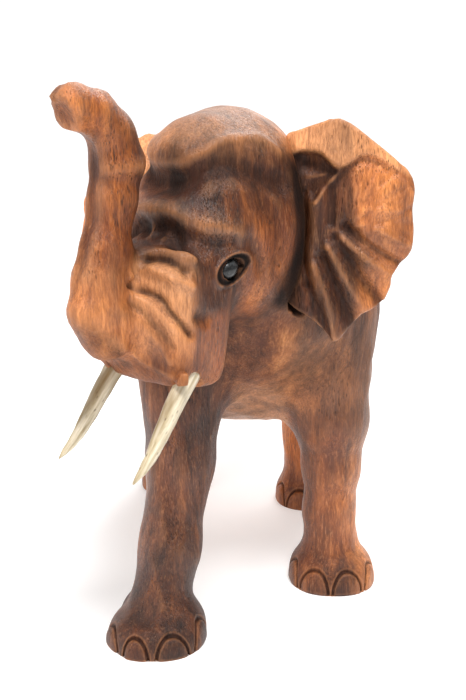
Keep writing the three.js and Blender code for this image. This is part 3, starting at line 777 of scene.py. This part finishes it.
# Each ear stroke: points as (out, up), then half-width and height toward the front, in millimetres.
EAR_STROKES = {
    "inner hollow": ([(11, 266), (18, 264), (25, 262), (14, 254)], 4.5, -2.8),
    "crest": ([(16, 247), (21, 255), (27, 262)], 1.7, 2.0),
    "oval hollow": ([(22.5, 254), (24, 246), (24, 237)], 3.4, -3.0),
    "inner seam": ([(9, 252), (10, 238), (9, 222), (12, 204)], 1.8, -2.0),
    "inner ridge": ([(14, 246), (15, 232), (14, 216), (17, 198)], 2.6, 1.4),
    "deep fold": ([(32, 234), (42, 226), (51, 220), (66, 212)], 3.2, -3.6),
    "ridge under the deep fold": ([(30, 229), (44, 219), (56, 210)], 3.2, 2.4),
    "second fold": ([(26, 229), (34, 218), (41, 206), (50, 195)], 3.4, -3.2),
    "ridge under the second fold": ([(23, 224), (32, 209), (42, 192)], 3.2, 2.4),
    "third fold": ([(20, 218), (28, 201), (36, 184)], 3.2, -3.2),
    "ridge to the tip": ([(16, 214), (22, 198), (27, 178)], 3.2, 2.2),
    "fourth fold": ([(12, 204), (17, 190), (22, 178)], 2.6, -2.0),
    "upper outer ridge": ([(44, 244), (60, 243)], 1.7, 1.0),
    "upper outer valley": ([(42, 239), (62, 236)], 2.6, -0.9),
    "lower outer ridge": ([(48, 234), (62, 226)], 2.0, 1.3),
    "fine groove": ([(38, 238), (52, 249), (64, 256)], 1.3, -0.8),
    "fine groove above": ([(37, 243), (48, 256), (58, 263)], 1.2, -0.7),
    "fine groove below": ([(38, 233), (54, 239), (68, 246)], 1.2, -0.7),
    "fine groove at the crest": ([(36, 247), (42, 257), (46, 265)], 1.2, -0.6),
    "lower outer valley": ([(44, 232), (60, 221)], 2.0, -0.6),
}

# The lower edge of the ear's rolled top, and the fold that parts its inner and outer halves.
ROLL_EDGE = [
    (2, 270), (9, 272), (18, 271), (26, 264), (33, 266),
    (38, 269), (44, 268), (51, 265), (60, 259), (70, 250),
]
SIDE_FOLD = [(33, 268), (32, 257), (33, 247), (34, 238), (36, 232)]


def ear_guide(path):
    """An ear guide line rounded off, as two rows for interpolation."""
    curve = np.array(rounded(path))
    return curve[:, 0], curve[:, 1]


def ear_zones(out, up):
    """Height above the roll's edge, and distance out beyond the side fold."""
    roll_out, roll_up = ear_guide(ROLL_EDGE)
    above = up - np.interp(out, roll_out, roll_up)
    fold_out, fold_up = ear_guide(SIDE_FOLD)
    beyond = out - np.interp(up, fold_up[::-1], fold_out[::-1])
    return above, beyond


def ear_relief(out, up):
    """How far the carved front stands toward the viewer, over the smooth leaf."""
    flat = np.stack([out, up, np.zeros(len(out))], axis=1)
    relief = np.zeros(len(out))
    for points, width, height in EAR_STROKES.values():
        path = [np.array([*point, 0.0]) for point in points]
        relief += stroke(flat, path, width, height)
    above, beyond = ear_zones(out, up)
    fade_out = 1 - 0.75 * smoothstep(out, 40, 62)
    roll = 2.4 * smoothstep(above, -2.0, 2.4) * np.exp(-np.maximum(above - 3, 0) / 16) * fade_out
    under = -2.2 * np.exp(-np.maximum(-above, 0) / 7) * smoothstep(-above, -2.0, 2.4) * fade_out
    in_fold = smoothstep(up, 228, 238) * smoothstep(-above, -1, 5)
    side = (2.0 * smoothstep(beyond, -4.0, 6.0) - 1.2 * np.exp(-((beyond + 3) / 3.5) ** 2)) * in_fold
    outer_lower = 1.4 * soft((beyond, 0, 8), (-up, -238, -226), (up, 206, 220))
    return relief + roll + under + side + outer_lower


# The ear's outline as (out, up): the plain one that the CAD leaf has, and the carved one.
EAR_RIM_IN_CAD = [
    (0, 281), (11, 286), (24, 289), (40, 278), (51, 270), (60, 263), (65, 247), (64.5, 232), (62, 217),
    (55, 209), (51, 196), (44, 190), (33, 183), (25, 174), (17, 180), (8, 187), (0, 196),
]
EAR_RIM_CARVED = [
    (0, 281), (13, 285.5), (24, 289), (33, 286), (44, 278), (54, 270), (62, 263), (65.5, 254),
    (65, 243), (66, 232), (65, 222), (60, 215), (56, 210), (55, 203), (52, 196), (47, 192),
    (41, 189), (34, 181), (27, 174), (20, 181), (13, 186), (6, 190), (0, 196),
]


def rim_reach(angle, rim):
    """How far the rim is from the ear's middle, in each direction."""
    spokes = np.array(rounded(rim)) - EAR_MIDDLE
    around = np.arctan2(spokes[:, 1], spokes[:, 0])
    order = np.argsort(around)
    reach = np.hypot(spokes[:, 0], spokes[:, 1])
    return np.interp(angle, around[order], reach[order], period=2 * math.pi)


def scallop(out, up):
    """Moves the ear's rim from its plain outline to its carved, scalloped one."""
    away = np.stack([out, up], axis=1) - EAR_MIDDLE
    angle = np.arctan2(away[:, 1], away[:, 0])
    plain = rim_reach(angle, EAR_RIM_IN_CAD)
    share = np.hypot(away[:, 0], away[:, 1]) / plain
    grown = 1 + (rim_reach(angle, EAR_RIM_CARVED) / plain - 1) * smoothstep(share, 0.6, 1)
    grown = np.where(out > 3, grown, 1)
    moved = EAR_MIDDLE + away * grown[:, None]
    return moved[:, 0], moved[:, 1]


def make_ear(word):
    ear = EARS[word]
    piece = copy_of(f"ear_{word}", f"wood_ear_{word}")
    remesh(piece, EAR_VOXEL)
    smooth(piece, 0.5, 2)
    p = coords(piece.data) / MM - OFFSET
    e = to_ear(to_head(p), ear)
    out, back, up = e[:, 0], e[:, 1], e[:, 2]
    middle = ear_bow(out, up)
    half = EAR_THICKNESS / 2
    face = np.clip((back - middle) / half, -1, 1)
    calm = smoothstep(out, 1.5, 7)
    relief = ear_relief(out, up) * calm
    new_middle = middle + (ear_smooth_bow(out) - middle) * calm
    front_share = smoothstep(-face, -0.2, 0.5)
    back_share = 1 - front_share
    moved = new_middle + (back - middle) - relief * (front_share + 0.45 * back_share)
    carved_out, carved_up = scallop(out, up)
    e2 = np.stack([carved_out, moved, carved_up], axis=1)
    set_coords(piece.data, (from_head(from_ear(e2, ear)) + OFFSET) * MM)
    smooth(piece, 0.5, 2)
    shade_smooth(piece)
    paint_ear(piece, out, up, relief)
    piece.data.materials.append(wood_material("ear_wood", redness=0.35))
    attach(piece, "carving")
    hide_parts(f"ear_{word}")


def paint_ear(piece, out, up, relief):
    """Where the ear's wood is warm, and where light and shade are painted: highlights pale, shade dark
    in its folds and over its inner half, and near black at its root.
    """
    above, beyond = ear_zones(out, up)
    outer = smoothstep(beyond, -6, 9)
    lower_outer = smoothstep(out, 32, 48) * smoothstep(-up, -240, -224)
    top_band = smoothstep(above, -1, 2)
    warm = np.maximum(outer, lower_outer) * (1 - top_band) + top_band * smoothstep(out, 26, 44) * 0.8
    warm = np.maximum(warm, 0.3 * smoothstep(-up, -240, -220))
    # Painted shade in the folds, over the inner half and at the root.
    hollow_shade = np.clip(-relief / 4.2, 0, 1)
    inner = (1 - outer) * (1 - top_band) * smoothstep(up, 218, 244) * 0.25
    root = (1 - smoothstep(out, 5, 14)) * (1 - top_band)
    store(piece, "warm", warm)
    store(piece, "hollow_shade", np.max([hollow_shade, inner, root * 0.9], axis=0))
    # Painted shade, near black, at the root.
    store(piece, "char_and_gap_shade", root * 0.75)
    # Painted highlights on the rolled top, the ridges and the outer half.
    ridges = np.clip(relief / 3.5, 0, 1)
    store(piece, "painted_highlight", np.max([top_band * 0.85, ridges * 0.25 * (1 - outer), outer * 0.22], axis=0))


# ---------- tusks and eyes ----------


def joint_axis(name):
    """The way a packed joint moves, which is also the way its tusk's grain runs."""
    joints = frame["record"]["behaviour"]["joints"]
    return next(joint["axis"] for joint in joints if joint["name"] == name)


TUSK_WAVES = 6
TUSK_WOBBLE = 0.18


def make_tusk(word):
    rng = np.random.default_rng(SEED + len(word))
    piece = copy_of(f"tusk_{word}", f"bone_tusk_{word}")
    remesh(piece, TUSK_VOXEL)
    smooth(piece, 0.5, 8)
    p = coords(piece.data) / MM
    outward = normals(piece.data)
    waves = rng.uniform(0.12, 0.5, size=(TUSK_WAVES, 2))
    swells = [np.sin(p[:, 0] * a * 2.2 + p[:, 1] * b * 2.0 + i) for i, (a, b) in enumerate(waves)]
    wobble = sum(swells) / TUSK_WAVES
    set_coords(piece.data, (p + outward * (TUSK_WOBBLE * wobble)[:, None]) * MM)
    shade_smooth(piece)
    piece.data.materials.append(bone_material(f"tusk_bone_{word}", joint_axis(f"tusk_{word}_pull")))
    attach(piece, f"{word}_tusk")
    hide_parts(f"tusk_{word}")


def make_eye(word):
    piece = copy_of(f"eye_{word}", f"bead_eye_{word}")
    remesh(piece, BEAD_VOXEL)
    smooth(piece, 0.5, 6)
    side = EARS[word]["side"]
    h = to_head(coords(piece.data) / MM - OFFSET)
    middle = at_head(EYE["forward"], EYE["out"] * side, EYE["up"])
    local = (h - middle) / np.linalg.norm(h - middle, axis=1)[:, None] * BEAD_RADIUS
    slant = np.array([0, math.cos(EYE_SLANT), math.sin(EYE_SLANT)])
    stretched = local + (BEAD_STRETCH - 1) * (local @ slant)[:, None] * slant
    stretched[:, 0] += BEAD_STANDOUT * side
    set_coords(piece.data, (from_head(middle + stretched) + OFFSET) * MM)
    shade_smooth(piece)
    piece.data.materials.append(bead_material())
    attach(piece, "carving")
    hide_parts(f"eye_{word}")


# ---------- materials ----------


class Nodes:
    """Short calls for building one material's node tree."""

    def __init__(self, name, grain=(0, 0, 1)):
        self.grain_turn = Vector(grain).rotation_difference(Vector((0, 0, 1))).to_euler()
        self.material = bpy.data.materials.new(name)
        self.material.use_nodes = True
        self.tree = self.material.node_tree
        self.shader = self.tree.nodes["Principled BSDF"]

    def add(self, kind, **settings):
        node = self.tree.nodes.new(kind)
        for key, value in settings.items():
            setattr(node, key, value)
        return node

    def link(self, source, target):
        self.tree.links.new(source, target)

    def place(self, scale):
        """Object coordinates turned so the grain runs along Z, then scaled along each axis."""
        coordinates = self.add("ShaderNodeTexCoord")
        turned = self.add("ShaderNodeMapping")
        turned.inputs["Rotation"].default_value = self.grain_turn
        mapping = self.add("ShaderNodeMapping")
        mapping.inputs["Scale"].default_value = scale
        self.link(coordinates.outputs["Object"], turned.inputs["Vector"])
        self.link(turned.outputs["Vector"], mapping.inputs["Vector"])
        return mapping.outputs["Vector"]

    def noise(self, scale, detail=4.0, roughness=0.6, distortion=0.0):
        node = self.add("ShaderNodeTexNoise")
        node.inputs["Scale"].default_value = 1.0
        node.inputs["Detail"].default_value = detail
        node.inputs["Roughness"].default_value = roughness
        node.inputs["Distortion"].default_value = distortion
        self.link(self.place(scale), node.inputs["Vector"])
        return node.outputs["Fac"]

    def cells(self, scale):
        node = self.add("ShaderNodeTexVoronoi")
        node.inputs["Scale"].default_value = 1.0
        self.link(self.place(scale), node.inputs["Vector"])
        return node.outputs["Distance"]

    def ramp(self, value, stops):
        """Colour stops as (position, colour)."""
        node = self.add("ShaderNodeValToRGB")
        elements = node.color_ramp.elements
        while len(elements) > len(stops):
            elements.remove(elements[-1])
        while len(elements) < len(stops):
            elements.new(0.5)
        for element, (position, colour) in zip(elements, stops):
            element.position = position
            element.color = (*colour, 1.0)
        self.link(value, node.inputs["Fac"])
        return node.outputs["Color"]

    def range(self, value, low, high, new_low=0.0, new_high=1.0):
        """A value from low to high, spread over new_low to new_high and held at its ends."""
        node = self.add("ShaderNodeMapRange")
        limits = {"From Min": low, "From Max": high, "To Min": new_low, "To Max": new_high}
        for key, number in limits.items():
            node.inputs[key].default_value = number
        self.link(value, node.inputs["Value"])
        return node.outputs["Result"]

    def math(self, operation, a, b):
        node = self.add("ShaderNodeMath", operation=operation)
        for socket, value in zip(node.inputs, (a, b)):
            if isinstance(value, (int, float)):
                socket.default_value = value
            else:
                self.link(value, socket)
        return node.outputs["Value"]

    def mix(self, factor, a, b, blend_type="MIX"):
        node = self.add("ShaderNodeMix", data_type="RGBA", blend_type=blend_type)
        for socket, value in zip((node.inputs[0], node.inputs[6], node.inputs[7]), (factor, a, b)):
            if isinstance(value, tuple):
                socket.default_value = (*value, 1.0)
            elif isinstance(value, (int, float)):
                socket.default_value = value
            else:
                self.link(value, socket)
        return node.outputs[2]

    def painted(self, name):
        node = self.add("ShaderNodeAttribute", attribute_name=name)
        return node.outputs["Fac"]

    def bump(self, height, strength, distance):
        node = self.add("ShaderNodeBump")
        node.inputs["Strength"].default_value = strength
        node.inputs["Distance"].default_value = distance
        self.link(height, node.inputs["Height"])
        self.link(node.outputs["Normal"], self.shader.inputs["Normal"])


def linear(red, green, blue):
    """A screen colour (0 to 255) as the shader's linear colour."""

    def one(value):
        value /= 255
        return value / 12.92 if value <= 0.04045 else ((value + 0.055) / 1.055) ** 2.4

    return (one(red), one(green), one(blue))


# The wood's colours, from burnt black and painted shade to lighter edges and painted highlight.
# Near black: burnt wood round the eyes, and painted shade in the gaps at the ears' roots.
CHAR_AND_GAP_SHADE = linear(16, 12, 10)
PORE = linear(38, 20, 13)
# Painted shade in hollows, grooves and under the head.
HOLLOW_SHADE = linear(44, 22, 11)
DARK_PATCH = linear(50, 28, 18)
# Painted shade in concave creases.
CREASE_SHADE = linear(52, 27, 15)
VEIN = linear(72, 34, 17)
RED_BROWN = linear(118, 54, 26)
# Sharp outward edges are lightened toward this colour.
EDGE_TONE = linear(222, 150, 96)
FIBRE_GLINT = linear(232, 178, 134)
# Painted highlight.
HIGHLIGHT_PAINT = linear(246, 176, 124)


def wood_material(name, redness=0.0):
    """Streaked brown wood that follows the painted warm and burnt shares and the painted highlights and
    shade.
    """
    n = Nodes(name)
    streaks = n.noise((150, 150, 9), 6.0, 0.62, 0.4)
    broad = n.noise((26, 26, 7), 3.0, 0.55, 0.8)
    blotch = n.noise((34, 34, 20), 4.0, 0.6, 0.6)
    patches = n.noise((16, 16, 10), 2.0, 0.5, 0.5)
    fine = n.noise((1100, 1100, 200), 2.0, 0.7)
    tone = n.math("ADD", n.math("MULTIPLY", streaks, 0.62), n.math("MULTIPLY", patches, 0.38))
    umber = n.ramp(tone, [
        (0.34, linear(50, 25, 12)), (0.45, linear(88, 47, 25)), (0.56, linear(124, 71, 39)),
        (0.70, linear(164, 108, 70)),
    ])
    orange = n.ramp(tone, [
        (0.32, linear(104, 52, 20)), (0.43, linear(156, 84, 34)), (0.55, linear(194, 114, 50)),
        (0.70, linear(224, 152, 86)),
    ])
    warmth = n.math("ADD", n.painted("warm"), n.range(broad, 0.38, 0.66, -0.28, 0.30))
    warmth = n.range(warmth, 0.12, 0.88)
    colour = n.mix(warmth, umber, orange)
    red = n.range(blotch, 0.52, 0.70, 0.0, 0.3 + redness)
    colour = n.mix(red, colour, RED_BROWN)
    dark_patch = n.range(blotch, 0.30, 0.46, 0.6, 0.0)
    colour = n.mix(dark_patch, colour, DARK_PATCH)
    # Painted highlights.
    painted_highlight = n.math("MULTIPLY", n.painted("painted_highlight"), n.range(streaks, 0.35, 0.65, 0.55, 1.0))
    colour = n.mix(painted_highlight, colour, HIGHLIGHT_PAINT)
    # Painted shade in hollows, under the muzzle and jaw and toward the feet.
    hollow_shade = n.math("MULTIPLY", n.painted("hollow_shade"), n.range(streaks, 0.3, 0.7, 1.05, 0.7))
    colour = n.mix(hollow_shade, colour, HOLLOW_SHADE)
    pores = n.cells((1200, 1200, 150))
    where = n.range(n.noise((60, 60, 16), 3.0), 0.44, 0.60)
    fleck = n.math("MULTIPLY", n.range(pores, 0.14, 0.32, 0.7, 0.0), where)
    colour = n.mix(fleck, colour, PORE)
    fibres = n.noise((900, 900, 150), 4.0, 0.75, 0.3)
    shade = n.ramp(fibres, [(0.36, (0.58, 0.53, 0.48)), (0.58, (1.0, 1.0, 1.0))])
    colour = n.mix(1.0, colour, shade, "MULTIPLY")
    glint = n.math("MULTIPLY", n.range(fibres, 0.54, 0.74, 0.0, 0.22), n.math("SUBTRACT", 1.0, hollow_shade))
    colour = n.mix(glint, colour, FIBRE_GLINT)
    cloud = n.ramp(patches, [(0.38, (0.80, 0.74, 0.64)), (0.60, (1.46, 1.37, 1.20))])
    veins = n.range(n.noise((64, 64, 5), 5.0, 0.68, 1.2), 0.53, 0.64, 0.0, 0.55)
    veins = n.math("MULTIPLY", veins, n.range(n.painted("painted_highlight"), 0.0, 1.0, 1.0, 0.25))
    colour = n.mix(veins, colour, VEIN)
    colour = n.mix(1.0, colour, cloud, "MULTIPLY")
    edges = n.add("ShaderNodeNewGeometry").outputs["Pointiness"]
    # From the mesh's pointiness: sharp edges lighter, and concave creases darker as painted shade.
    colour = n.mix(n.range(edges, 0.51, 0.56, 0.0, 0.35), colour, EDGE_TONE)
    colour = n.mix(n.range(edges, 0.44, 0.49, 0.35, 0.0), colour, CREASE_SHADE)
    # Burnt black round the eyes, and near-black painted shade in the ear gaps.
    burn_and_gap_shade = n.math("MULTIPLY", n.painted("char_and_gap_shade"), n.range(blotch, 0.34, 0.56, 1.15, 0.8))
    colour = n.mix(burn_and_gap_shade, colour, CHAR_AND_GAP_SHADE)
    n.link(colour, n.shader.inputs["Base Color"])
    dull = n.math("MAXIMUM", n.math("MULTIPLY", n.painted("hollow_shade"), 0.7), n.painted("char_and_gap_shade"))
    rough = n.math("ADD", n.range(streaks, 0.3, 0.7, 0.40, 0.27), n.math("MULTIPLY", dull, 0.35))
    n.link(rough, n.shader.inputs["Roughness"])
    n.link(n.range(dull, 0.0, 1.0, 0.5, 0.1), n.shader.inputs["Specular IOR Level"])
    height = n.math("ADD", n.math("MULTIPLY", streaks, 0.5), n.math("MULTIPLY", fine, 0.35))
    height = n.math("ADD", height, n.math("MULTIPLY", fibres, 0.5))
    height = n.math("SUBTRACT", height, n.math("MULTIPLY", fleck, 0.6))
    n.bump(height, 1.0, 0.0011)
    return n.material


def bone_material(name, grain):
    n = Nodes(name, grain)
    streaks = n.noise((420, 420, 22), 5.0, 0.6, 0.2)
    broad = n.noise((110, 110, 14), 3.0, 0.5)
    colour = n.ramp(streaks, [
        (0.30, linear(158, 138, 102)), (0.44, linear(196, 180, 148)),
        (0.60, linear(232, 220, 196)), (0.80, linear(246, 238, 220)),
    ])
    stain = n.range(broad, 0.47, 0.62, 0.0, 0.8)
    colour = n.mix(stain, colour, linear(128, 104, 66))
    pits = n.range(n.cells((520, 520, 220)), 0.10, 0.26, 0.8, 0.0)
    where = n.range(n.noise((110, 110, 60), 2.0), 0.48, 0.60)
    pit = n.math("MULTIPLY", pits, where)
    colour = n.mix(pit, colour, linear(84, 62, 40))
    n.link(colour, n.shader.inputs["Base Color"])
    n.link(n.range(streaks, 0.3, 0.7, 0.42, 0.30), n.shader.inputs["Roughness"])
    n.shader.inputs["Subsurface Weight"].default_value = 0.08
    n.shader.inputs["Subsurface Radius"].default_value = (0.004, 0.003, 0.002)
    n.bump(n.math("SUBTRACT", streaks, pit), 0.35, 0.0004)
    return n.material


def bead_material():
    n = Nodes("eye_bead")
    swirl = n.noise((300, 300, 300), 4.0, 0.6, 1.0)
    colour = n.ramp(swirl, [
        (0.35, linear(12, 12, 12)), (0.55, linear(30, 31, 32)), (0.72, linear(66, 68, 70)),
    ])
    n.link(colour, n.shader.inputs["Base Color"])
    n.link(n.range(swirl, 0.3, 0.7, 0.16, 0.34), n.shader.inputs["Roughness"])
    n.bump(swirl, 0.3, 0.0004)
    return n.material


def dowel_material():
    n = Nodes("dowel_wood")
    streaks = n.noise((60, 500, 500), 4.0, 0.6)
    colour = n.ramp(streaks, [(0.35, linear(166, 126, 80)), (0.6, linear(204, 168, 118))])
    n.link(colour, n.shader.inputs["Base Color"])
    n.link(n.range(streaks, 0.3, 0.7, 0.75, 0.6), n.shader.inputs["Roughness"])
    n.bump(streaks, 0.3, 0.0002)
    return n.material


def backdrop_material():
    n = Nodes("backdrop")
    n.shader.inputs["Base Color"].default_value = (0.8, 0.8, 0.8, 1.0)
    n.shader.inputs["Emission Color"].default_value = (1.0, 1.0, 0.995, 1.0)
    n.shader.inputs["Emission Strength"].default_value = 0.36
    n.shader.inputs["Roughness"].default_value = 0.85
    n.shader.inputs["Specular IOR Level"].default_value = 0.1
    return n.material


# ---------- stage, light and camera ----------


def make_stage():
    """A pale sweep: floor, a rounded corner and a wall well behind the carving."""
    half_width, front, back, corner, top = 3.5, -2.0, 2.4, 0.8, 3.6
    profile = [(front, 0.0), (back - corner, 0.0)]
    steps = 16
    for i in range(1, steps + 1):
        angle = math.pi / 2 * i / steps
        profile.append((back - corner + corner * math.sin(angle), corner - corner * math.cos(angle)))
    profile.append((back, top))
    verts = [(x, y, z) for y, z in profile for x in (-half_width, half_width)]
    faces = [(2 * i, 2 * i + 1, 2 * i + 3, 2 * i + 2) for i in range(len(profile) - 1)]
    mesh = bpy.data.meshes.new("sweep")
    mesh.from_pydata(verts, [], faces)
    sweep = bpy.data.objects.new("sweep", mesh)
    bpy.context.scene.collection.objects.link(sweep)
    shade_smooth(sweep)
    mesh.materials.append(backdrop_material())


def area_light(name, place, aim, size, power):
    light = bpy.data.lights.new(name, "AREA")
    light.shape = "DISK"
    light.size = size
    light.energy = power
    lamp = bpy.data.objects.new(name, light)
    lamp.location = place
    direction = Vector(aim) - Vector(place)
    lamp.rotation_euler = direction.to_track_quat("-Z", "Y").to_euler()
    bpy.context.scene.collection.objects.link(lamp)


def make_light():
    world = bpy.data.worlds.new("studio")
    world.use_nodes = True
    background = world.node_tree.nodes["Background"]
    background.inputs["Color"].default_value = (1.0, 1.0, 1.0, 1.0)
    background.inputs["Strength"].default_value = 0.46
    bpy.context.scene.world = world
    middle = (0.0, 0.0, 0.15)
    area_light("key", (0.15, -0.75, 1.5), middle, 0.5, 24.0)
    area_light("fill", (-1.2, -1.1, 0.7), middle, 1.0, 9.0)
    area_light("back", (0.4, 1.2, 1.5), middle, 1.0, 16.0)


CAMERA_PLACE = np.array([-9.0, -640.0, 294.0])  # in the block's axes
CAMERA_TILT = math.radians(14)


def make_camera():
    """A normal lens, a little above the head, looking slightly down."""
    camera = bpy.data.cameras.new("camera")
    camera.lens = 50.0
    camera.sensor_width = 36.0
    camera.clip_start = 0.05
    item = bpy.data.objects.new("camera", camera)
    item.location = (CAMERA_PLACE + OFFSET) * MM
    item.rotation_euler = (math.pi / 2 - CAMERA_TILT, 0.0, 0.0)
    bpy.context.scene.collection.objects.link(item)
    bpy.context.scene.camera = item


def set_view():
    settings = bpy.context.scene.view_settings
    settings.view_transform = "Standard"
    settings.look = "None"
    settings.exposure = 0.0
    settings.gamma = 1.0


# ---------- everything ----------

make_camera()
make_light()
make_stage()
set_view()
make_block()
for side_word in EARS:
    make_ear(side_word)
    make_tusk(side_word)
    make_eye(side_word)
    dowel = frame["nodes"][f"ear_dowel_{side_word}"]
    dowel.data.materials.clear()
    dowel.data.materials.append(dowel_material())
